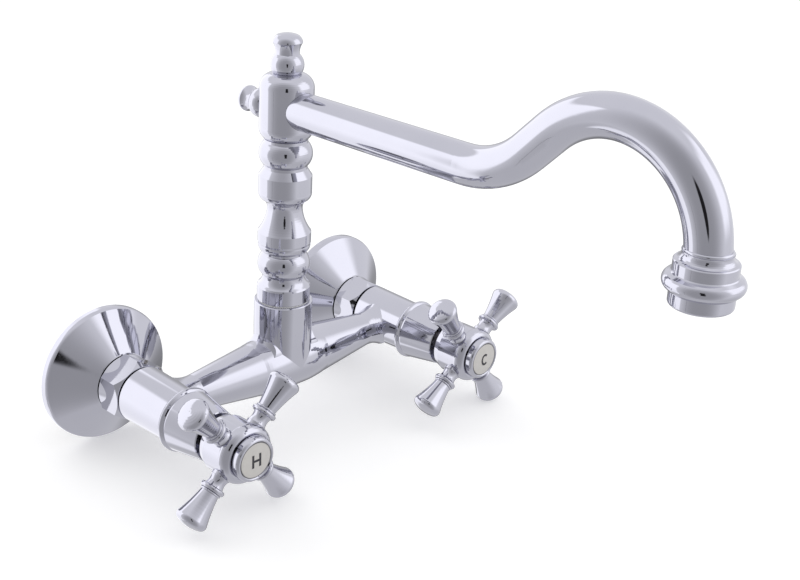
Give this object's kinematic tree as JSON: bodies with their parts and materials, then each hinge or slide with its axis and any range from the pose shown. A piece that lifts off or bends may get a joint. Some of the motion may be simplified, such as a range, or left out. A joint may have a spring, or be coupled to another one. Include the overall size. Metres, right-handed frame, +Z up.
{
  "type": "wall-mounted basin mixer tap",
  "caption": "Traditional wall-mounted mixer tap with cross handles, a turned column and a long S-shaped swivel spout, in polished chrome.",
  "frame": {"origin": "on the finished wall, halfway between the two inlet threads", "axes": "+Z up, +Y into the wall, so the tap stands out towards -Y; the hot side is at -X"},
  "size_m": [0.2164, 0.3005, 0.2049],
  "materials": {
    "chrome": "polished",
    "brass": "machined",
    "steel": "satin",
    "rubber": "matte",
    "ceramic": "polished",
    "porcelain": "glazed",
    "plastic": "moulded"
  },
  "bodies": {
    "tap_body": {"mixer_body": "chrome", "swivel_slide_ring": "plastic", "spout_grub_screw": "steel", "hot_barrel": "chrome", "hot_rose": "chrome", "hot_union": "brass", "hot_union_nipple": "brass", "hot_union_nut": "chrome", "hot_union_washer": "rubber", "hot_tail": "chrome", "hot_valve_body": "brass", "hot_seat_seal": "rubber", "hot_fixed_disc": "ceramic", "hot_sleeve": "chrome", "cold_barrel": "chrome", "cold_rose": "chrome", "cold_union": "brass", "cold_union_nipple": "brass", "cold_union_nut": "chrome", "cold_union_washer": "rubber", "cold_tail": "chrome", "cold_valve_body": "brass", "cold_seat_seal": "rubber", "cold_fixed_disc": "ceramic", "cold_sleeve": "chrome"},
    "hot_handle": {"hot_turning_disc": "ceramic", "hot_spindle": "brass", "hot_spindle_o_ring": "rubber", "hot_circlip": "steel", "hot_hub": "chrome", "hot_arms": "chrome", "hot_handle_screw": "steel", "hot_bezel": "chrome", "hot_index_disc": "porcelain"},
    "cold_handle": {"cold_turning_disc": "ceramic", "cold_spindle": "brass", "cold_spindle_o_ring": "rubber", "cold_circlip": "steel", "cold_hub": "chrome", "cold_arms": "chrome", "cold_handle_screw": "steel", "cold_bezel": "chrome", "cold_index_disc": "porcelain"},
    "swivel_spout": {"spout_column": "chrome", "swivel_o_rings": "rubber", "spout_head": "chrome", "spout_tube": "chrome", "top_finial": "chrome", "rear_finial": "chrome", "outlet_ferrule": "chrome", "aerator_washer": "rubber", "aerator_shell": "chrome", "aerator_insert": "plastic", "aerator_screen": "steel"}
  },
  "joints": [
    {"name": "hot_handle_turn", "type": "hinge", "parent": "tap_body", "child": "hot_handle", "pos_m": [-0.075, -0.1, 0.008], "axis": [0, -1, 0], "range_deg": [0, 90]},
    {"name": "cold_handle_turn", "type": "hinge", "parent": "tap_body", "child": "cold_handle", "pos_m": [0.075, -0.1, 0.008], "axis": [0, 1, 0], "range_deg": [0, 90]},
    {"name": "spout_swivel", "type": "hinge", "parent": "tap_body", "child": "swivel_spout", "pos_m": [0, -0.045, 0.04], "axis": [0, 0, 1], "range_deg": [-90, 90]}
  ]
}
